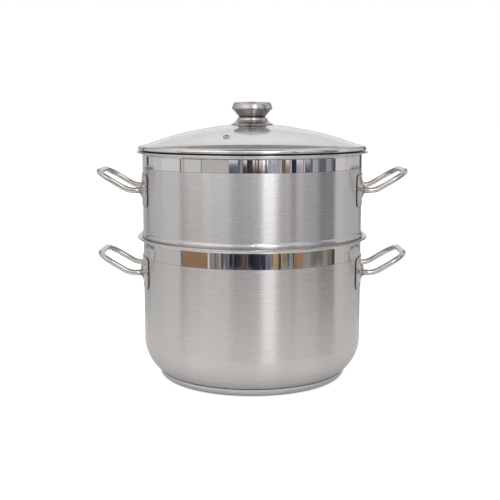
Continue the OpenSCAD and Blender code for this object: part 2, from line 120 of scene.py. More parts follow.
def add(tree, kind, inputs=None, **settings):
    """Adds a node, sets its properties, and sets or links its inputs."""
    made = tree.nodes.new(kind)
    for name, value in settings.items():
        setattr(made, name, value)
    for name, value in (inputs or {}).items():
        fill(tree, made.inputs[name], value)
    return made


def new_material(name, **sockets):
    """A material with one Principled shader, and plain values on its own sockets."""
    made = bpy.data.materials.new(name)
    made.use_nodes = True
    shader = made.node_tree.nodes["Principled BSDF"]
    for socket, value in sockets.items():
        shader.inputs[socket.replace("_", " ")].default_value = value
    return made, made.node_tree, shader


def new_group(name, inputs, outputs):
    """A node group with named number sockets, and its two end nodes."""
    group = bpy.data.node_groups.new(name, "ShaderNodeTree")
    for label, default in inputs.items():
        socket = group.interface.new_socket(
            name=label, in_out="INPUT", socket_type="NodeSocketFloat")
        socket.default_value = default
    for label in outputs:
        group.interface.new_socket(name=label, in_out="OUTPUT", socket_type="NodeSocketFloat")
    start = group.nodes.new("NodeGroupInput")
    end = group.nodes.new("NodeGroupOutput")
    return group, start, end


def close_group(group, end, outputs):
    """Sends values out of a group by name."""
    for name, value in outputs.items():
        group.links.new(value, end.inputs[name])
    print("group made:", group.name)


def use_group(tree, group, inputs):
    return add(tree, "ShaderNodeGroup", inputs, node_tree=group)


print("helpers for nodes ready")

# %% Helpers for sums, places and noise
def math_node(tree, operation, a, b=None):
    inputs = {0: a} if b is None else {0: a, 1: b}
    return add(tree, "ShaderNodeMath", inputs, operation=operation).outputs[0]


def mix_value(tree, factor, a, b):
    return add(tree, "ShaderNodeMix", {0: factor, 2: a, 3: b}, data_type="FLOAT").outputs[0]


def mix_colour(tree, factor, a, b):
    return add(tree, "ShaderNodeMix", {0: factor, 6: a, 7: b}, data_type="RGBA").outputs[2]


def map_range(tree, value, before, after=(0.0, 1.0), **settings):
    """Takes a value from one range to another, and holds it at the ends."""
    return add(tree, "ShaderNodeMapRange", {
        "Value": value, "From Min": before[0], "From Max": before[1],
        "To Min": after[0], "To Max": after[1]}, **settings).outputs[0]


def noise(tree, at, scale, detail, **more):
    inputs = {"Vector": at, "Scale": scale, "Detail": detail, **more}
    return add(tree, "ShaderNodeTexNoise", inputs).outputs[0]


def object_place(tree):
    return add(tree, "ShaderNodeTexCoord").outputs["Object"]


def flat_vector(tree, x, y):
    return add(tree, "ShaderNodeCombineXYZ", {0: x, 1: y}).outputs[0]


def stretched(tree, vector, by):
    return add(tree, "ShaderNodeVectorMath", {0: vector, 1: by}, operation="MULTIPLY").outputs[0]


def length_of(tree, vector):
    return add(tree, "ShaderNodeVectorMath", {0: vector}, operation="LENGTH").outputs["Value"]


def from_height(tree, height, z):
    """How far a height is from z, which is in millimetres."""
    return math_node(tree, "ABSOLUTE", math_node(tree, "SUBTRACT", height, z * MM))


def near_height(tree, z, half_height):
    """A soft mask, 1 at a height and 0 beyond half_height on either side, in millimetres."""
    height = add(tree, "ShaderNodeSeparateXYZ", {0: object_place(tree)}).outputs[2]
    return map_range(tree, from_height(tree, height, z),
                     (half_height * 0.6 * MM, half_height * MM), (1.0, 0.0))


print("helpers for sums, places and noise ready")

# %% Helpers for surfaces
def brush_round_axis(tree, shader):
    """Stretches reflections a quarter turn from lines that run round the Z axis."""
    shader.inputs["Anisotropic Rotation"].default_value = 0.25
    tangent = add(tree, "ShaderNodeTangent", direction_type="RADIAL", axis="Z")
    tree.links.new(tangent.outputs[0], shader.inputs["Tangent"])


def bump(tree, shader, height, strength, distance):
    """Lets light see a height on the surface; distance is in metres."""
    made = add(tree, "ShaderNodeBump", {
        "Strength": strength, "Distance": distance, "Height": height})
    tree.links.new(made.outputs[0], shader.inputs["Normal"])


def handled(tree, shader, scale, smudge, roughness):
    """Puts handling marks into a shader's roughness, and returns their group."""
    marks = use_group(tree, marks_group, {
        "Scale": scale, "Smudge": smudge, "Roughness": roughness})
    tree.links.new(marks.outputs["Roughness"], shader.inputs["Roughness"])
    return marks


print("helpers for surfaces ready")

# %% [markdown]
# ## A node group for turned and brushed grain
# Brushed steel is covered with fine scratches that all run one way. On this pot they run round the
# body, because it turned against a belt while it was brushed. Noise that is stretched a long way
# round the axis and squeezed along the height gives such lines. The group turns a point into its
# angle and its height first, so the lines follow the curve with no seam in view.

# %% Group: grain that runs round the axis
STREAK_STRETCH = (0.6, 0.12, 1.0)

grain_group, start, end = new_group(
    "turned_grain", {"Fineness": 900.0, "Length": 3.0, "Across": 0.0}, ["Lines", "Streaks"])
tree = grain_group
parts = add(tree, "ShaderNodeSeparateXYZ", {0: object_place(tree)})
angle = math_node(tree, "ARCTAN2", parts.outputs[0], parts.outputs[1])
radius = length_of(tree, flat_vector(tree, parts.outputs[0], parts.outputs[1]))
height = math_node(tree, "ADD", parts.outputs[2],
                   math_node(tree, "MULTIPLY", radius, start.outputs["Across"]))
lines_at = flat_vector(tree, math_node(tree, "MULTIPLY", angle, start.outputs["Length"]),
                       math_node(tree, "MULTIPLY", height, start.outputs["Fineness"]))
lines = noise(tree, lines_at, 1.0, 4.0, Roughness=0.7)
streaks = noise(tree, stretched(tree, lines_at, STREAK_STRETCH), 1.0, 2.0)
close_group(grain_group, end, {"Lines": lines, "Streaks": streaks})

# %% [markdown]
# ## A node group for handling marks
# Polished steel is never perfectly clean. Soft patches from fingers and cloths change its
# roughness a little, and a few hairline scratches cross it. Both stay faint, as the pot is new.

# %% Group: handling marks
PATCH_EDGES, HAIRLINE_EDGES = (0.42, 0.75), (0.66, 0.74)
HAIRLINE_STRETCH = (55.0, 900.0, 420.0)

marks_group, start, end = new_group(
    "handling_marks", {"Scale": 30.0, "Smudge": 0.05, "Roughness": 0.1},
    ["Roughness", "Scratches", "Patches"])
tree = marks_group
place = object_place(tree)
patches = map_range(
    tree, noise(tree, place, start.outputs["Scale"], 3.0, Distortion=0.4), PATCH_EDGES)
rough = math_node(tree, "ADD", start.outputs["Roughness"],
                  math_node(tree, "MULTIPLY", patches, start.outputs["Smudge"]))
hairlines = noise(tree, stretched(tree, place, HAIRLINE_STRETCH), 1.0, 1.0, Distortion=0.8)
scratches = map_range(tree, hairlines, HAIRLINE_EDGES)
close_group(marks_group, end, {"Roughness": rough, "Scratches": scratches, "Patches": patches})

# %% [markdown]
# ## Brushed body with a polished band
# The walls are brushed, but a band under each lip, 21 mm high on the pot and 17 mm on the steamer,
# is polished like a mirror, with a thin line where the belt stopped. One material does both: the
# height of a point decides which finish it has, inside the vessels as well. Anisotropy stretches
# reflections across the brush lines, which turns every lamp and wall into an upright streak.

# %% Material: brushed walls
WALL_FINENESS, WALL_LENGTH = 6500.0, 3.0
STREAK_EDGES, WALL_ROUGHNESS = (0.3, 0.7), (0.25, 0.28)
WALL_DARKER, WALL_BUMP, WALL_DEPTH = 0.985, 0.006, 0.00004
BAND_COLOUR, LINE_COLOUR = (0.70, 0.69, 0.685, 1), (0.34, 0.33, 0.32, 1)
LINE_HALF = 0.25


def brushed_walls(name, colour, line_z, top_z):
    """Brushed steel, with a polished band between two heights in millimetres."""
    made, tree, shader = new_material(name, Metallic=1.0, Anisotropic=0.98)
    brush_round_axis(tree, shader)
    z = add(tree, "ShaderNodeSeparateXYZ", {0: object_place(tree)}).outputs[2]
    in_band = math_node(tree, "MULTIPLY",
                        math_node(tree, "GREATER_THAN", z, line_z * MM),
                        math_node(tree, "LESS_THAN", z, (top_z + 1) * MM))
    grain = use_group(tree, grain_group, {"Fineness": WALL_FINENESS, "Length": WALL_LENGTH})
    marks = use_group(tree, marks_group, {"Scale": 26.0, "Smudge": 0.05, "Roughness": 0.03})
    brushed_rough = map_range(tree, grain.outputs["Streaks"], STREAK_EDGES, WALL_ROUGHNESS)
    rough = mix_value(tree, in_band, brushed_rough, marks.outputs["Roughness"])
    tree.links.new(rough, shader.inputs["Roughness"])
    dark = [c * WALL_DARKER for c in colour] + [1]
    brushed_colour = mix_colour(tree, grain.outputs["Lines"], dark, colour + [1])
    body_colour = mix_colour(tree, in_band, brushed_colour, BAND_COLOUR)
    line = math_node(tree, "LESS_THAN", from_height(tree, z, line_z), LINE_HALF * MM)
    tree.links.new(mix_colour(tree, line, body_colour, LINE_COLOUR), shader.inputs["Base Color"])
    below_band = math_node(tree, "SUBTRACT", 1.0, in_band)
    height = math_node(tree, "MULTIPLY", grain.outputs["Lines"], below_band)
    bump(tree, shader, height, WALL_BUMP, WALL_DEPTH)
    return made


pot_walls = brushed_walls("pot_walls", [0.655, 0.632, 0.618], MIRROR_POT, POT_TOP - FLARE_START)
steamer_walls = brushed_walls(
    "steamer_walls", [0.66, 0.652, 0.655], MIRROR_STEAMER, STEAMER_TOP - FLARE_START)
print("brushed walls for pot and steamer")

# %% [markdown]
# ## Polished steel
# The handles and the lid's band are buffed. A mirror needs something to mirror, so most of the
# work is in the studio below; the material adds smudges, hairlines and a slight warmth. The band's
# foot, in the narrow gap above the lip, is painted dark: painted shade for the shadow there and a
# painted reflection of the dark lip.

# %% Material: polished steel
# Painted shade: the band's foot is darkened to stand in for the shadow and the dark reflection of
# the lip in the gap.
PAINTED_GAP_SHADE = (0.04, 0.035, 0.03, 1)
GAP_Z, GAP_HALF = STEAMER_TOP + 1.0, 1.6


def polished_steel(name, colour, roughness, shade=None):
    """Buffed steel; shade is a height and a half height, in millimetres, where painted shade
    darkens it.
    """
    made, tree, shader = new_material(name, Metallic=1.0)
    marks = handled(tree, shader, 45.0, 0.06, roughness)
    worn = [c * 0.9 for c in colour] + [1]
    wear_and_gap_shade = mix_colour(tree, marks.outputs["Patches"], colour + [1], worn)
    if shade:
        wear_and_gap_shade = mix_colour(tree, near_height(tree, *shade), wear_and_gap_shade, PAINTED_GAP_SHADE)
    tree.links.new(wear_and_gap_shade, shader.inputs["Base Color"])
    bump(tree, shader, marks.outputs["Scratches"], 0.3, 0.00001)
    return made


polished = polished_steel("polished_rods", [0.64, 0.61, 0.58], 0.11)
band_steel = polished_steel(
    "polished_band", [0.76, 0.745, 0.725], 0.07, shade=(GAP_Z, GAP_HALF))
print("polished steel materials made")

# %% [markdown]
# ## Polished plates, with spot welds and a dark outline
# The plates are stamped and then polished with everything on them. Six spot welds leave shallow
# round marks. A thin dark outline round the edge is painted shade and a painted reflection,
# standing in for the contact shadow and the dark wall mirrored in the rolled edge. Both are drawn
# from the
# distance of a point to a place: a bump for each mark, and a darker colour where the distance to
# the outline is small.

# %% Group: spot-weld marks and a painted shade outline
MARK_EDGES, RING_AT, RING_HALF = (0.7, 1.0), 0.9, 0.35
OUTLINE_EDGES = (0.0004, 0.0016)

spots_group, start, end = new_group(
    "spot_marks",
    {"Middle Height": 0.148, "Half Width": 0.061, "Half Height": 0.022, "Corner": 0.0075,
     "Mark Y": 0.056, "Mark Z": 0.017, "Mark Radius": 0.0017},
    ["Marks", "Rings", "Outline"])
tree = spots_group


def less(a, b):
    return math_node(spots_group, "SUBTRACT", a, b)


def past(value, limit):
    """How far a value is past the place where the outline's corner begins, or 0."""
    over = math_node(spots_group, "ADD", start.outputs["Corner"], less(value, start.outputs[limit]))
    return math_node(spots_group, "MAXIMUM", over, 0.0)


parts = add(tree, "ShaderNodeSeparateXYZ", {0: object_place(tree)})
y = math_node(tree, "ABSOLUTE", parts.outputs[1])
z = math_node(tree, "ABSOLUTE", less(parts.outputs[2], start.outputs["Middle Height"]))
up = less(z, start.outputs["Mark Z"])
to_middle = length_of(tree, flat_vector(tree, y, up))
to_corner = length_of(tree, flat_vector(tree, less(y, start.outputs["Mark Y"]), up))
nearest = math_node(tree, "MINIMUM", to_middle, to_corner)
share = math_node(tree, "DIVIDE", nearest, start.outputs["Mark Radius"])
spots = map_range(tree, share, MARK_EDGES, interpolation_type="SMOOTHSTEP")
from_ring = math_node(tree, "ABSOLUTE", less(share, RING_AT))
rings = map_range(tree, from_ring, (0.0, RING_HALF), (1.0, 0.0))
# The outline mask says where painted shade goes along the plate's edge.
reach = length_of(tree, flat_vector(tree, past(y, "Half Width"), past(z, "Half Height")))
outline = map_range(tree, less(start.outputs["Corner"], reach), OUTLINE_EDGES, (1.0, 0.0))
close_group(spots_group, end, {"Marks": spots, "Rings": rings, "Outline": outline})

# %% Material: plates, one for each height
# Painted shade: this colour darkens the outline in place of the edge's contact shadow and dark
# reflection; it also darkens a ring round each weld mark.
OUTLINE_SHADE_AND_RING_DARK = (0.06, 0.055, 0.05, 1)


def plate_metal(tier):
    made, tree, shader = new_material(f"{tier}_plates", Metallic=1.0)
    marks = handled(tree, shader, 60.0, 0.06, 0.10)
    spots = use_group(tree, spots_group, {"Middle Height": HANDLE_Z[tier] * MM})
    clean = mix_colour(
        tree, marks.outputs["Patches"], (0.66, 0.64, 0.62, 1), (0.60, 0.58, 0.56, 1))
    outline_shade_and_rings = math_node(tree, "MAXIMUM", spots.outputs["Outline"],
                       math_node(tree, "MULTIPLY", spots.outputs["Rings"], 0.7))
    tree.links.new(mix_colour(tree, outline_shade_and_rings, clean, OUTLINE_SHADE_AND_RING_DARK), shader.inputs["Base Color"])
    bump(tree, shader, spots.outputs["Marks"], 0.8, 0.0003)
    return made


PLATE_METAL = {tier: plate_metal(tier) for tier in RIM}
print("plate materials:", [m.name for m in PLATE_METAL.values()])

# %% [markdown]
# ## Turned steel for the base capsule and the knob
# Both were finished on a lathe, so their grain runs in circles round the axis, coarser than the
# brushing of the walls. Dark lines at the base's join and the knob's waist, and a darker copy of
# the steel on the knob's cone, are painted shade.

# %% Material: turned steel
GLASS_TOP = round(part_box("upper_gasket")[0].z / MM, 2)
WAIST_Z = GLASS_TOP + 10.0
SEAM_Z = 10.5
# Painted shade: a dark line stands in for the shadow in the gap where the base capsule meets the
# wall, and in the groove at the knob's waist.
PAINTED_SEAM_SHADE = (0.03, 0.028, 0.026, 1)


def turned_steel(name, colour, fineness, roughness, across, shaded_seams=()):
    """Steel with circles of grain; each shaded seam is a line of painted shade, a height and a half
    height.
    """
    made, tree, shader = new_material(name, Metallic=1.0, Anisotropic=0.6)
    brush_round_axis(tree, shader)
    grain = use_group(tree, grain_group, {
        "Fineness": fineness, "Length": 1.2, "Across": across})
    rough = map_range(tree, grain.outputs["Streaks"], STREAK_EDGES,
                      (roughness - 0.03, roughness + 0.03))
    tree.links.new(rough, shader.inputs["Roughness"])
    dark = [c * 0.86 for c in colour] + [1]
    turned = mix_colour(tree, grain.outputs["Lines"], dark, colour + [1])
    for shaded_seam in shaded_seams:
        turned = mix_colour(tree, near_height(tree, *shaded_seam), turned, PAINTED_SEAM_SHADE)
    tree.links.new(turned, shader.inputs["Base Color"])
    bump(tree, shader, grain.outputs["Lines"], 0.05, 0.00005)
    return made


base_steel = turned_steel("turned_base", [0.72, 0.72, 0.76], 1500.0, 0.3, 0.7, [(SEAM_Z, 0.7)])
knob_steel = turned_steel(
    "turned_knob", [0.62, 0.59, 0.575], 3200.0, 0.22, 0.6, [(WAIST_Z, 0.8)])
# Painted shade: the cone gets a darker copy of the knob's steel, standing in for the dark things
# its downward face mirrors.
shaded_knob_steel = turned_steel(
    "turned_knob_shaded", [0.40, 0.375, 0.365], 3200.0, 0.2, 0.6, [(WAIST_Z, 1.0)])
inner_steel = turned_steel("plain_core", [0.62, 0.63, 0.65], 1200.0, 0.4, 0.5)
print("turned steel materials made")

# %% [markdown]
# ## Weld metal, silicone and the small fittings
# The weld beads are duller than what they join. The silicone washers are milky, and their edge
# lets a little light through.

# %% Materials: welds, fittings, silicone
def weld_metal():
    made, tree, shader = new_material("weld_beads", Metallic=1.0)
    marks = handled(tree, shader, 400.0, 0.2, 0.32)
    colour = mix_colour(
        tree, marks.outputs["Patches"], (0.46, 0.43, 0.40, 1), (0.30, 0.27, 0.25, 1))
    tree.links.new(colour, shader.inputs["Base Color"])
    bump(tree, shader, marks.outputs["Patches"], 0.5, 0.0002)
    return made


def silicone():
    made, tree, shader = new_material("milky_silicone", IOR=1.42, Subsurface_Weight=0.3)
    marks = handled(tree, shader, 300.0, 0.12, 0.38)
    colour = mix_colour(
        tree, marks.outputs["Patches"], (0.84, 0.84, 0.82, 1), (0.76, 0.76, 0.73, 1))
    tree.links.new(colour, shader.inputs["Base Color"])
    return made


weld_steel = weld_metal()
milky = silicone()
fitting = polished_steel("plain_fittings", [0.55, 0.54, 0.53], 0.16)
print("welds, silicone and fittings made")

# %% [markdown]
# ## Lid glass
# The glass is clear with a faint green edge, 4 mm thick. Light has to reach the steamer's floor
# below it, so shadow rays pass through a plain transparent shader, as thin glass lets nearly all
# light by.

# %% Material: lid glass
def lid_glass():
    made, tree, shader = new_material(
        "clear_glass", Roughness=0.0, IOR=1.5, Transmission_Weight=1.0)
    marks = use_group(tree, marks_group, {"Scale": 12.0, "Smudge": 0.02, "Roughness": 0.0})
    colour = mix_colour(
        tree, marks.outputs["Patches"], (0.915, 0.925, 0.918, 1), (0.895, 0.905, 0.9, 1))
    tree.links.new(colour, shader.inputs["Base Color"])
    path = add(tree, "ShaderNodeLightPath")
    clear = add(tree, "ShaderNodeBsdfTransparent", {"Color": (0.93, 0.95, 0.94, 1)})
    passes = math_node(
        tree, "MAXIMUM", path.outputs["Is Shadow Ray"], path.outputs["Is Diffuse Ray"])
    mixed = add(tree, "ShaderNodeMixShader", {0: passes, 1: shader.outputs[0], 2: clear.outputs[0]})
    tree.links.new(mixed.outputs[0], tree.nodes["Material Output"].inputs[0])
    return made


glass = lid_glass()
print("glass made:", glass.name)

# %% [markdown]
# ## Dressing the frame's own pieces
# Pieces whose shape is already right keep their mesh and only get a material in their slot.

# %% Put the materials on
FINISH = {
    "pot_shell": pot_walls, "steamer_shell": steamer_walls,
    "base_cap": base_steel, "base_core": inner_steel,
    "lid_glass": glass, "lid_band": band_steel, "vent_eyelet": fitting,
    "knob_cap": knob_steel, "knob_cone": shaded_knob_steel, "knob_skirt": knob_steel,
    "knob_insert": inner_steel, "knob_screw": fitting, "screw_washer": fitting,
    "upper_gasket": milky, "lower_gasket": milky,
    "pot_handle_welds": weld_steel, "steamer_handle_welds": weld_steel,
}
for tier in RIM:
    for side in ("left", "right"):
        FINISH[f"{tier}_{side}_plate"] = PLATE_METAL[tier]
        FINISH[f"{tier}_{side}_handle"] = polished
for node_name, material in FINISH.items():
    NODES[node_name].data.materials.clear()
    NODES[node_name].data.materials.append(material)
print("dressed:", len(FINISH))

# %% [markdown]
# ## Handles
# Each handle is one round rod, bent up 31 degrees and round two corners. The frame's rod has
# twenty sides, which shows in a mirror finish, so a smooth rod is swept along the same middle line
# with rings that turn with the bends, and stands in for it.

# %% Handle rods
ROOT_X, BEND_R, BEND, CORNER_R, SPAN = 157.0, 30.0, math.radians(31), 22.0, 420.0
BEND_STEPS, CORNER_STEPS, ROD_SIDES = 16, 32, 48
START_X = math.sqrt(BODY_R ** 2 - (ROD_Y - ROD_R) ** 2) + 0.5
RISE_X = ROOT_X + BEND_R * math.sin(BEND)
RISE_Z = BEND_R * (1 - math.cos(BEND))
RISE_LEN = (SPAN / 2 - ROD_R - RISE_X) / math.cos(BEND) - CORNER_R


def rod_half():
    """Points of the rod's middle line from the wall to the middle of the grip."""
    points = [(START_X, ROD_Y, 0.0)]
    for i in range(BEND_STEPS + 1):
        a = BEND * i / BEND_STEPS
        points.append((ROOT_X + BEND_R * math.sin(a), ROD_Y, BEND_R * (1 - math.cos(a))))
    for i in range(CORNER_STEPS + 1):
        a = math.pi / 2 * i / CORNER_STEPS
        along = RISE_LEN + CORNER_R * math.sin(a)
        across = ROD_Y - CORNER_R * (1 - math.cos(a))
        points.append((RISE_X + along * math.cos(BEND), across, RISE_Z + along * math.sin(BEND)))
    return points


def sweep(points, radius, sides, up):
    """Rings of a round rod along points; up is never along the path."""
    rings = []
    for i, point in enumerate(points):
        before = points[max(i - 1, 0)]
        after = points[min(i + 1, len(points) - 1)]
        along = (Vector(after) - Vector(before)).normalized()
        u = (up - up.dot(along) * along).normalized()
        v = along.cross(u)
        rings.append([Vector(point) + radius * (math.cos(t) * u + math.sin(t) * v)
                      for t in (2 * math.pi * k / sides for k in range(sides))])
    return rings


def grid_faces(rows, columns, first=0, close_rows=True, close_columns=True):
    """Four-sided faces over rows of points; a closed direction runs back to its start."""
    faces = []
    for i in range(rows if close_rows else rows - 1):
        for k in range(columns if close_columns else columns - 1):
            j, m = (i + 1) % rows, (k + 1) % columns
            faces.append(tuple(first + row * columns + column
                               for row, column in ((i, k), (i, m), (j, m), (j, k))))
    return faces


def mesh_object(name, vertices, faces, material, smooth=True):
    """An object from points in millimetres."""
    data = bpy.data.meshes.new(name)
    data.from_pydata([tuple(c * MM for c in v) for v in vertices], [], faces)
    data.validate()
    data.polygons.foreach_set("use_smooth", [smooth] * len(data.polygons))
    data.materials.append(material)
    made = bpy.data.objects.new(name, data)
    bpy.context.scene.collection.objects.link(made)
    return made


def handle(name, tier, sign):
    half = rod_half()
    path = half + [(x, -y, z) for x, y, z in reversed(half[:-1])]
    path = [(x * sign, y * sign, z + HANDLE_Z[tier]) for x, y, z in path]
    up = Vector((-math.sin(BEND) * sign, 0, math.cos(BEND)))
    rings = sweep(path, ROD_R, ROD_SIDES, up)
    vertices = [v for ring in rings for v in ring]
    faces = grid_faces(len(rings), ROD_SIDES, close_rows=False)
    faces.append(tuple(reversed(range(ROD_SIDES))))
    faces.append(tuple((len(rings) - 1) * ROD_SIDES + k for k in range(ROD_SIDES)))
    return mesh_object(name, vertices, faces, polished)


for tier in RIM:
    for side, sign in (("left", -1), ("right", 1)):
        rod = handle(f"{tier}_{side}_rod", tier, sign)
        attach(rod, tier)
        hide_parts(f"{tier}_{side}_handle")
        print(rod.name, len(rod.data.polygons), "faces")

# %% [markdown]
# ## Handle plates
# A plate is one stamped sheet: a flat field that follows the wall, an oval boss where the rod
# stands, and an edge that rolls down to the wall. It is built from loops. The innermost loop is
# the line between the two rods, the next ones climb down the boss, and the last ones follow the
# plate's outline, so the edges of the mesh run along the shapes that catch the light.

# %% Plates
PLATE_W, PLATE_H, PLATE_CORNER = 122.0, 44.0, 7.5
BOSS_HALF, BOSS_R, BOSS_PROUD, BOSS_FOOT = 42.0, 12.5, 4.0, 1.6
BOSS_ROUND = (BOSS_R ** 2 + BOSS_PROUD ** 2) / (2 * BOSS_PROUD)
FOOT_SOFTNESS, FOOT_SINK = 0.7, 0.35
LOOP = 288
BOSS_LOOPS = (0.02, 1.5, 3, 4.5, 6, 7.5, 9, 10.2, 11.2, 12, 12.7, 13.4, 14.1)
BLENDS = (0.25, 0.5, 0.75)
INSETS = (1.4, 1.0, 0.7, 0.45, 0.25, 0.1, 0.02, 0.0, 0.0)
SHEET = PLATE_R - BODY_R


def stadium(radius, share):
    """A point, y and z, on a round-ended bar's outline, share of the way round."""
    straight, arc = 2 * BOSS_HALF, math.pi * BOSS_R
    at = share * 2 * (straight + arc)
    side = 1
    if at >= straight + arc:
        at -= straight + arc
        side = -1
    if at < arc:
        a = -math.pi / 2 + at / BOSS_R
        return side * (BOSS_HALF + radius * math.cos(a)), side * radius * math.sin(a)
    return side * (BOSS_HALF - (at - arc)), side * radius


def rounded_rectangle(inset, share):
    """A point on the plate's outline, drawn in by inset, in the direction that suits the bar."""
    half_w, half_h = PLATE_W / 2 - PLATE_CORNER, PLATE_H / 2 - PLATE_CORNER
    r = PLATE_CORNER - inset
    corner = math.pi * PLATE_CORNER / 2
    sides = (2 * half_h, corner, 2 * half_w, corner)
    at = share * 2 * sum(sides)
    side = 1
    if at >= sum(sides):
        at -= sum(sides)
        side = -1
    if at < sides[0]:
        point = (half_w + r, -half_h + at)
    elif at < sides[0] + sides[1]:
        a = (at - sides[0]) / PLATE_CORNER
        point = (half_w + r * math.cos(a), half_h + r * math.sin(a))
    elif at < sum(sides[:3]):
        point = (half_w - (at - sides[0] - sides[1]), half_h + r)
    else:
        a = math.pi / 2 + (at - sum(sides[:3])) / PLATE_CORNER
        point = (-half_w + r * math.cos(a), half_h + r * math.sin(a))
    return side * point[0], side * point[1]


def boss_height(y, z):
    """How far the boss stands over the plate at a point, with a soft foot."""
    out = math.hypot(max(abs(y) - BOSS_HALF, 0), z)
    if out >= BOSS_R + BOSS_FOOT:
        return 0.0
    dome = math.sqrt(max(BOSS_ROUND ** 2 - out ** 2, 0)) - (BOSS_ROUND - BOSS_PROUD)
    soft = BOSS_FOOT * FOOT_SOFTNESS
    return 0.5 * (dome + math.sqrt(dome * dome + soft * soft)) - 0.5 * soft * FOOT_SINK


def on_wall(radius, y, z, sign, tier):
    """Bends a flat point, y and z from the plate's middle, round the body."""
    return (sign * math.sqrt(radius ** 2 - y ** 2), sign * y, z + HANDLE_Z[tier])


def outline_loop(inset):
    return [rounded_rectangle(inset, i / LOOP) for i in range(LOOP)]


def plate(name, tier, sign):
    """Loops from the line between the rods out to the plate's rolled edge."""
    loops = [[stadium(radius, i / LOOP) for i in range(LOOP)] for radius in BOSS_LOOPS]
    last_boss, rim = loops[-1], outline_loop(INSETS[0])
    for blend in BLENDS:
        loops.append([((1 - blend) * a[0] + blend * b[0], (1 - blend) * a[1] + blend * b[1])
                      for a, b in zip(last_boss, rim)])
    drops = [0.0] * len(loops)
    loops += [outline_loop(inset) for inset in INSETS]
    drops += [SHEET - math.sqrt(1 - (1 - min(inset, 1.0)) ** 2) for inset in INSETS[:-1]]
    drops += [SHEET]
    vertices = [on_wall(PLATE_R + boss_height(y, z) - drop, y, z, sign, tier)
                for loop, drop in zip(loops, drops) for y, z in loop]
    faces = [(a, d, c, b) for a, b, c, d in grid_faces(len(loops), LOOP, close_rows=False)]
    return mesh_object(name, vertices, faces, PLATE_METAL[tier])


for tier in RIM:
    for side, sign in (("left", -1), ("right", 1)):
        made = plate(f"{tier}_{side}_stamped_plate", tier, sign)
        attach(made, tier)
        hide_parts(f"{tier}_{side}_plate")
        print(made.name, len(made.data.polygons), "faces")

# %% [markdown]
# ## Weld beads
# Each rod end is welded round to the boss. A weld is laid in small overlapping pools, so the bead
# swells and shrinks a dozen times on its way round. The bead is a ring of circles whose centres
# follow the line where the rod enters the curved boss, with a ripple and a little chance in their
# size.

# %% Weld beads
POOLS, BEAD_R, BEAD_OUT, BEAD_PROUD = 12, 1.25, 0.55, 0.15
RIPPLE, POOL_CHANCE, POOL_SHARE, BEAD_FLAT = 0.10, 0.12, 0.6, 0.85
BEAD_STEPS, BEAD_SIDES = 72, 14


def weld_beads(name, tier):
    """The four beads of a tier, one round each rod end."""
    dice = random.Random(7)
    vertices, faces = [], []
    for sign, rod in ((-1, -1), (-1, 1), (1, -1), (1, 1)):
        faces += grid_faces(BEAD_STEPS, BEAD_SIDES, first=len(vertices))
        lean = [dice.uniform(-POOL_CHANCE, POOL_CHANCE) for _ in range(POOLS)]
        for i in range(BEAD_STEPS):
            a = 2 * math.pi * i / BEAD_STEPS
            pool = POOLS * i / BEAD_STEPS
            swell = RIPPLE * math.cos(2 * math.pi * pool)
            size = BEAD_R * (1 + swell + lean[int(pool) % POOLS] * POOL_SHARE)
            y = rod * ROD_Y + (ROD_R + BEAD_OUT) * math.cos(a)
            z = (ROD_R + BEAD_OUT) * math.sin(a)
            r = PLATE_R + boss_height(y, z) + BEAD_PROUD
            centre = Vector(on_wall(r, y, z, sign, tier))
            outward = Vector((0, sign * math.cos(a), math.sin(a)))
            along = Vector((sign, 0, 0))
            for k in range(BEAD_SIDES):
                b = 2 * math.pi * k / BEAD_SIDES
                vertices.append(
                    centre + size * (math.cos(b) * outward * BEAD_FLAT + math.sin(b) * along))
    return mesh_object(name, vertices, faces, weld_steel)


for tier in RIM:
    beads = weld_beads(f"{tier}_weld_beads", tier)
    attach(beads, tier)
    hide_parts(f"{tier}_handle_welds")
    print(beads.name, len(beads.data.polygons), "faces")

# %% [markdown]
# ## Knob
# The knob is spun from sheet in three shells. Spun sheet has no sharp corner: every edge is a small
# round that catches a thin highlight. A lathe piece is a closed outline turned round the axis, and
# a helper rounds each corner of that outline by its own radius before it is turned.

# %% Helpers for lathe pieces
def rounded(corners, steps=6):
    """An outline whose corners (x, z, radius) become arcs that take up to half a side."""
    points = []
    n = len(corners)
    for i, (x, z, radius) in enumerate(corners):
        here = Vector((x, z))
        before = Vector(corners[i - 1][:2]) - here
        after = Vector(corners[(i + 1) % n][:2]) - here
        if radius <= 0 or before.length == 0 or after.length == 0:
            points.append((x, z))
            continue
        half = before.angle(after) / 2
        reach = min(radius / math.tan(half), before.length * 0.49, after.length * 0.49)
        arc_r = reach * math.tan(half)
        to_middle = (before.normalized() + after.normalized()).normalized()
        middle = here + to_middle * (arc_r / math.sin(half))
        start_at = here + before.normalized() * reach - middle
        turn = start_at.angle_signed(here + after.normalized() * reach - middle)
        base = math.atan2(start_at.y, start_at.x)
        for k in range(steps + 1):
            a = base - turn * k / steps
            points.append((middle.x + arc_r * math.cos(a), middle.y + arc_r * math.sin(a)))
    return points


def lathe(name, outline, material, around=192):
    """Turns a closed outline, in millimetres, round the Z axis."""
    turns = [2 * math.pi * i / around for i in range(around)]
    vertices = [(x * math.sin(a), -x * math.cos(a), z) for a in turns for x, z in outline]
    faces = grid_faces(around, len(outline))
    return mesh_object(name, vertices, faces, material)


print("lathe helpers ready")

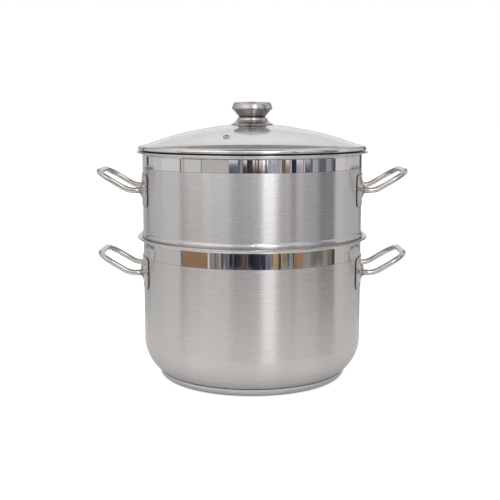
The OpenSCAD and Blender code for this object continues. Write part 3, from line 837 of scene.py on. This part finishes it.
# %% Knob shells
KNOB_TOP = round(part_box("knob_cap")[1].z / MM, 2)
WIDEST_Z = WAIST_Z + 10.5
FOOT_Z = round(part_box("knob_skirt")[0].z / MM, 2)
cap_outline = rounded([
    (0.01, KNOB_TOP, 0), (8.0, KNOB_TOP - 0.06, 20), (16.0, KNOB_TOP - 0.28, 20),
    (24.6, KNOB_TOP - 0.7, 2.4), (26.4, KNOB_TOP - 4.0, 6), (27.6, WIDEST_Z + 1.0, 0.5),
    (27.6, WIDEST_Z, 0.4), (26.8, WIDEST_Z, 0.2), (26.8, WIDEST_Z + 0.9, 0.4),
    (23.3, KNOB_TOP - 1.9, 2.2), (0.01, KNOB_TOP - 1.3, 0)], steps=8)
cone_outline = rounded([
    (8.1, WAIST_Z, 0), (18.0, WAIST_Z, 0.35), (26.1, WIDEST_Z - 1.1, 0.5),
    (27.3, WIDEST_Z - 0.9, 0.3), (27.3, WIDEST_Z - 0.02, 0.3), (25.7, WIDEST_Z - 0.02, 0.2),
    (17.2, WAIST_Z + 0.8, 0.4), (8.1, WAIST_Z + 0.8, 0)])
skirt_outline = rounded([
    (8.1, WAIST_Z - 0.05, 0), (18.0, WAIST_Z - 0.05, 0.3), (20.3, WAIST_Z - 2.3, 0.35),
    (21.0, WAIST_Z - 4.4, 3), (23.6, WAIST_Z - 7.0, 6), (28.4, FOOT_Z + 0.9, 0.4),
    (28.9, FOOT_Z + 0.25, 0.2), (28.6, FOOT_Z, 0.1), (27.4, FOOT_Z, 0.1),
    (22.9, WAIST_Z - 7.3, 6), (20.2, WAIST_Z - 4.7, 3), (19.5, WAIST_Z - 2.6, 0.35),
    (17.3, WAIST_Z - 0.85, 0.3), (8.1, WAIST_Z - 0.85, 0)])
for name, outline, material, node_name in (
        ("knob_cap_shell", cap_outline, knob_steel, "knob_cap"),
        ("knob_cone_shell", cone_outline, shaded_knob_steel, "knob_cone"),
        ("knob_skirt_shell", skirt_outline, knob_steel, "knob_skirt")):
    made = lathe(name, outline, material)
    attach(made, "lid")
    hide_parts(node_name)
    print(name, "box", [round(c / MM, 1) for c in made.dimensions])

# %% [markdown]
# ## The studio: floor, world and lamps
# The picture's background is white paper. The floor is a pale plane that takes the pot's soft
# shadow; for the camera alone it glows a little, so that it meets the white world without a line.
# The world lights the pot evenly, and three large soft lamps give it a gentle direction.

# %% Floor
GLOW_DISTANCES, GLOW_STRENGTHS = (0.9, 2.4), (0.62, 1.0)
FLOOR_R, FLOOR_Z = 20, -0.0002


def pale_floor():
    made, tree, shader = new_material("pale_floor", Roughness=0.7, Emission_Color=(1, 1, 1, 1))
    place = object_place(tree)
    fibres = noise(tree, place, 60.0, 3.0)
    paper = mix_colour(tree, fibres, (0.87, 0.87, 0.87, 1), (0.89, 0.89, 0.89, 1))
    tree.links.new(paper, shader.inputs["Base Color"])
    path = add(tree, "ShaderNodeLightPath")
    strength = map_range(tree, length_of(tree, place), GLOW_DISTANCES, GLOW_STRENGTHS)
    tree.links.new(math_node(tree, "MULTIPLY", path.outputs["Is Camera Ray"], strength),
                   shader.inputs["Emission Strength"])
    return made


bpy.ops.mesh.primitive_circle_add(
    vertices=96, radius=FLOOR_R, fill_type="NGON", location=(0, 0, FLOOR_Z))
floor = bpy.context.object
floor.name = "studio_floor"
floor.data.materials.append(pale_floor())
print("floor laid")

# %% World
LIT_BY, MIRRORED, SEEN = 0.62, 0.8, 1.0

world = bpy.data.worlds.new("studio")
bpy.context.scene.world = world
world.use_nodes = True
tree = world.node_tree
background = tree.nodes["Background"]
background.inputs["Color"].default_value = (1, 1, 1, 1)
path = add(tree, "ShaderNodeLightPath")
seen = math_node(
    tree, "MAXIMUM", path.outputs["Is Camera Ray"], path.outputs["Is Transmission Ray"])
strength = mix_value(tree, path.outputs["Is Glossy Ray"], LIT_BY, MIRRORED)
strength = mix_value(tree, seen, strength, SEEN)
tree.links.new(strength, background.inputs["Strength"])
print("world set")

# %% Lamps
def lamp(name, size, power, location, target=(0, 0, 0.2)):
    data = bpy.data.lights.new(name, "AREA")
    data.shape = "RECTANGLE"
    data.size, data.size_y = size
    data.energy = power
    made = bpy.data.objects.new(name, data)
    made.location = location
    made.rotation_euler = (Vector(target) - Vector(location)).to_track_quat("-Z", "Y").to_euler()
    bpy.context.scene.collection.objects.link(made)
    return made


lamp("soft_box_above", (2.4, 2.4), 22, (0, -0.3, 2.6)).visible_glossy = False
lamp("soft_box_left", (1.2, 2.0), 8, (-2.2, -1.2, 1.2))
lamp("soft_box_right", (1.2, 2.0), 8, (2.2, -1.2, 1.2))
print("lamps:", len(bpy.data.lights))

# %% [markdown]
# ## The room that the steel mirrors
# Polished steel shows the room it stands in, and brushed steel draws each thing in it out into an
# upright streak. The room here is a ring of simple cards that only mirror-like rays can see: the
# camera looks through them, and they cast no light or shadow. It is easiest to say where on the
# pot a streak should be, in degrees round from the front, and to work out where its card stands:
# a mirror sends a ray off at the angle at which it came in.

# %% Cards that only reflections see
EYE = -camera.location.y
ROOM_R = 1.5


def facing(turn, distance):
    """The direction, in degrees, of the thing that shows on the wall at turn degrees."""
    normal = math.radians(turn)
    r = BODY_R * MM
    incidence = normal + math.atan2(r * math.sin(normal), EYE - r * math.cos(normal))
    at_card = math.asin(min(r / distance, 1.0) * math.sin(incidence))
    return math.degrees(normal + incidence - at_card)


def glow(name, colour):
    material = bpy.data.materials.new(name)
    material.use_nodes = True
    tree = material.node_tree
    tree.nodes.remove(tree.nodes["Principled BSDF"])
    light = add(tree, "ShaderNodeEmission", {"Color": tuple(colour) + (1,), "Strength": 1.0})
    tree.links.new(light.outputs[0], tree.nodes["Material Output"].inputs[0])
    return material


def only_mirrored(made):
    """Leaves a thing to mirror-like rays alone."""
    made.visible_camera = False
    made.visible_diffuse = False
    made.visible_transmission = False
    made.visible_shadow = False


def card(name, from_turn, to_turn, profile, colour):
    """A card that shows between two turns; its profile is (radius, height) in metres."""
    steps = max(2, int(abs(to_turn - from_turn)) + 1)
    vertices = []
    for i in range(steps + 1):
        turn = from_turn + (to_turn - from_turn) * i / steps
        for r, z in profile:
            a = math.radians(facing(turn, r))
            vertices.append((r * math.sin(a) / MM, -r * math.cos(a) / MM, z / MM))
    faces = grid_faces(steps + 1, len(profile), close_rows=False, close_columns=False)
    made = mesh_object(name, vertices, faces, glow(name, colour), smooth=False)
    only_mirrored(made)


def grey(value, warm=0.0):
    """A grey that leans to red by warm, or to blue where warm is below 0."""
    return (value * (1 + warm), value, value * (1 - warm))


print("card helpers ready")

# %% [markdown]
# ## The tones of the room
# Each row is a part of the room's wall: where it begins and ends, in turns as seen on the pot, its
# upper tone, which the steamer shows, and its lower tone, which the pot shows. The floor grows
# darker with distance, so the pot is darker under its band than at its foot. Towards the front the
# rows are cut into narrow stripes, and seeded dice make each stripe a little lighter or darker.

# %% Room
HIGH = [(ROOM_R, 0.12), (ROOM_R, 1.7)]
LOW_NEAR = [(0.42, 0.002), (0.74, 0.002)]
LOW_FAR = [(0.74, 0.002), (ROOM_R, 0.003), (ROOM_R, 0.12)]
HIGH_TONE = (1.05, 1.05, 1.07)
NEAR_TONE, FAR_TONE = 1.08, 0.90
HIGH_CHANCE, LOW_CHANCE = (0.90, 1.10), (0.94, 1.06)
STRIPE = 1.3
BUSY_FROM, BUSY_TO = -37.0, 44.1
ROOM = [
    (-78, -67, grey(0.50, -0.05), grey(0.52, -0.04)), (-67, -64, grey(0.06), grey(0.50)),
    (-64, -58, grey(0.56, 0.02), grey(0.60, 0.02)), (-58, -50, grey(0.63, 0.02), grey(0.62, 0.03)),
    (-50, -37, grey(0.73, 0.01), grey(0.66, 0.02)), (-37, -35, grey(0.56, 0.03), grey(0.60, 0.03)),
    (-35, -25.3, grey(0.94, 0.03), grey(0.74, 0.03)),
    (-25.3, -10.6, grey(1.25, 0.0), grey(0.86, 0.02)),
    (-10.6, -3.3, grey(0.87, -0.02), grey(0.65, 0.01)),
    (-3.3, 3.4, grey(1.00, -0.01), grey(0.66, 0.02)),
    (3.4, 5.3, grey(1.40), grey(0.90, 0.01)), (5.3, 10.7, grey(3.05), grey(1.42)),
    (10.7, 12.6, grey(1.90), grey(0.85, 0.02)), (12.6, 18.7, grey(0.98, 0.0), grey(0.74, 0.02)),
    (18.7, 21.3, grey(0.40), grey(0.66, 0.02)), (21.3, 25.3, grey(0.93, -0.01), grey(0.78, 0.02)),
    (25.3, 31.3, grey(0.64, -0.02), grey(0.73, 0.02)),
    (31.3, 35, grey(0.62, -0.02), grey(0.68, 0.02)),
    (35, 44.1, grey(0.27, -0.02), grey(0.55, 0.02)), (44.1, 52, grey(0.70, 0.02), grey(0.66, 0.02)),
    (52, 59.5, grey(0.61, 0.02), grey(0.60, 0.02)), (59.5, 71, grey(0.54, 0.01), grey(0.56)),
    (71, 75, grey(0.06), grey(0.42)), (75, 78, grey(0.38, -0.06), grey(0.44, -0.04)),
]
room_dice = random.Random(5)
stripes = 0
for left, right, upper, lower in ROOM:
    busy = BUSY_FROM <= left and right <= BUSY_TO
    count = max(1, round((right - left) / STRIPE)) if busy else 1
    for i in range(count):
        a = left + (right - left) * i / count
        b = left + (right - left) * (i + 1) / count
        above = room_dice.uniform(*HIGH_CHANCE) if busy else 1.0
        below = room_dice.uniform(*LOW_CHANCE) if busy else 1.0
        high = [c * above * tone for c, tone in zip(upper, HIGH_TONE)]
        card(f"room_{stripes:03d}_upper", a, b, HIGH, high)
        card(f"room_{stripes:03d}_near", a, b, LOW_NEAR, [c * below * NEAR_TONE for c in lower])
        card(f"room_{stripes:03d}_far", a, b, LOW_FAR, [c * below * FAR_TONE for c in lower])
        stripes += 1
print("stripes of the room:", stripes)

# %% Dark ceiling
CEILING_STEPS = 48
CEILING_R, CEILING_Y, CEILING_Z = 800.0, -300.0, 2500.0
turns = [2 * math.pi * i / CEILING_STEPS for i in range(CEILING_STEPS)]
ring = [(CEILING_R * math.sin(a), CEILING_Y + CEILING_R * math.cos(a), CEILING_Z) for a in turns]
ceiling = mesh_object("ceiling", ring, [tuple(range(CEILING_STEPS))],
                      glow("ceiling", grey(0.10, 0.03)), smooth=False)
only_mirrored(ceiling)
print("ceiling hung")

# %% [markdown]
# ## Things on the shelves and on the floor
# The two polished bands look at very thin slices of the room: the steamer's band sees a low shelf,
# and the pot's band, being lower, sees the floor about a metre away. Narrow cards stand there in
# the muted colours of a workroom. Where many small things crowd together, dice choose their
# widths, colours and ends, always from the same seed, so that the picture is the same each time.

# %% Shelf and floor things
SHELF_R, SHELF_FOOT, SHELF_TOP = 1.46, 0.13, 0.30
SHELF_TOPS = (0.226, 0.26, SHELF_TOP)
GROUND_NEAR, GROUND_FAR = 1.0, 1.44
GROUND_STARTS = (GROUND_NEAR, GROUND_NEAR, 1.08)
GROUND_NEAR_Z, GROUND_FAR_Z = 0.006, 0.007
BAND_FROM, BAND_TO = -37, 44.4
SHELF_FRONT = [(SHELF_R, 0.02), (SHELF_R, SHELF_FOOT)]
FLOOR_SHADE = [(0.66, 0.005), (0.98, 0.005)]
CUT_CHANCE, SHADE_CHANCE = (0.1, 0.9), (0.8, 1.2)
PAINT = {
    "ink": (0.030, 0.034, 0.055), "black": (0.014, 0.014, 0.017), "slate": (0.15, 0.155, 0.18),
    "blue": (0.10, 0.17, 0.30), "plum": (0.16, 0.11, 0.12), "brown": (0.085, 0.055, 0.045),
    "rust": (0.42, 0.20, 0.13), "wood": (0.36, 0.215, 0.125), "oak": (0.24, 0.15, 0.09),
    "gold": (0.62, 0.38, 0.09), "teal": (0.16, 0.50, 0.47), "pink": (0.46, 0.38, 0.39),
    "cloud": (0.48, 0.49, 0.57), "lilac": (0.40, 0.385, 0.44), "ash": (0.30, 0.29, 0.27),
    "stone": (0.22, 0.205, 0.185), "blush": (0.66, 0.60, 0.585), "wall": (0.68, 0.655, 0.64),
}
SHELF_THINGS = [
    (-37, -36.2, 1, "slate"), (-36.2, -34.6, 1, "blush"), (-34.6, -34.2, 1, "lilac"),
    (-34.2, -24.9, 1, "wall"), (-24.9, -24.3, 1, "teal"), (-24.3, -11.2, 1, "wall"),
    (-11.2, -10.8, 1, "lilac"), (-10.8, -8.2, 3, "slate ink plum"),
    (-8.2, -5.6, 4, "blue blue slate teal"), (-5.6, -1.5, 6, "slate plum pink ink brown"),
    (-1.5, 3.2, 7, "brown plum brown black plum"), (3.2, 6.4, 6, "plum slate brown pink plum"),
    (6.4, 7.3, 2, "ink cloud"), (7.3, 13.6, 5, "cloud cloud cloud lilac"),
    (13.8, 18.4, 8, "rust oak pink ash rust"), (18.7, 21.2, 1, "ink"),
    (21.3, 24.6, 3, "lilac lilac ash"), (24.6, 25.1, 1, "rust"), (25.6, 30.0, 2, "slate"),
    (30.2, 34.0, 2, "lilac ash"), (34.0, 43.2, 5, "lilac slate lilac"), (43.2, 44.4, 1, "brown"),
]
GROUND_THINGS = [
    (-37, -35.6, 1, "stone"), (-35.6, -21.6, 1, "wood"), (-20.6, -17.6, 5, "slate pink brown ash"),
    (-17.6, -10.8, 9, "pink ash slate brown plum"), (-10.8, -5.8, 8, "ink black ink black plum"),
    (-5.8, -1.0, 6, "black brown ink plum"), (-1.0, 4.6, 8, "black brown black ink plum"),
    (4.6, 8.6, 6, "ink blue slate black"), (8.6, 12.2, 5, "slate black gold ash"),
    (12.2, 14.4, 5, "gold black brown slate"), (14.4, 18.0, 5, "oak brown slate oak"),
    (18.0, 18.5, 1, "teal"), (18.5, 20.8, 4, "stone black ash"), (20.8, 25.0, 4, "rust oak wood"),
    (25.0, 30.6, 3, "ash stone ash"), (30.6, 42.6, 4, "stone stone ash"), (42.6, 44.6, 1, "brown"),
]
dice = random.Random(11)
things = 0
for on_shelf, rows in ((True, SHELF_THINGS), (False, GROUND_THINGS)):
    for left, right, count, names in rows:
        cuts = sorted(dice.uniform(*CUT_CHANCE) for _ in range(count - 1))
        edges = [0.0] + cuts + [1.0]
        for a, b in zip(edges, edges[1:]):
            colour = PAINT[dice.choice(names.split())]
            shade = dice.uniform(*SHADE_CHANCE)
            colour = [c * shade for c in colour]
            if on_shelf:
                top = SHELF_TOP if count == 1 else dice.choice(SHELF_TOPS)
                profile = [(SHELF_R, SHELF_FOOT), (SHELF_R, top)]
            else:
                near = GROUND_NEAR if count == 1 else dice.choice(GROUND_STARTS)
                profile = [(near, GROUND_NEAR_Z), (GROUND_FAR, GROUND_FAR_Z)]
            card(f"thing_{things:03d}", left + (right - left) * a, left + (right - left) * b,
                 profile, colour)
            things += 1
card("shelf_front", BAND_FROM, BAND_TO, SHELF_FRONT, (0.10, 0.07, 0.06))
card("floor_shade", BAND_FROM, BAND_TO, FLOOR_SHADE, (0.06, 0.045, 0.04))
print("things for the polished bands:", things)
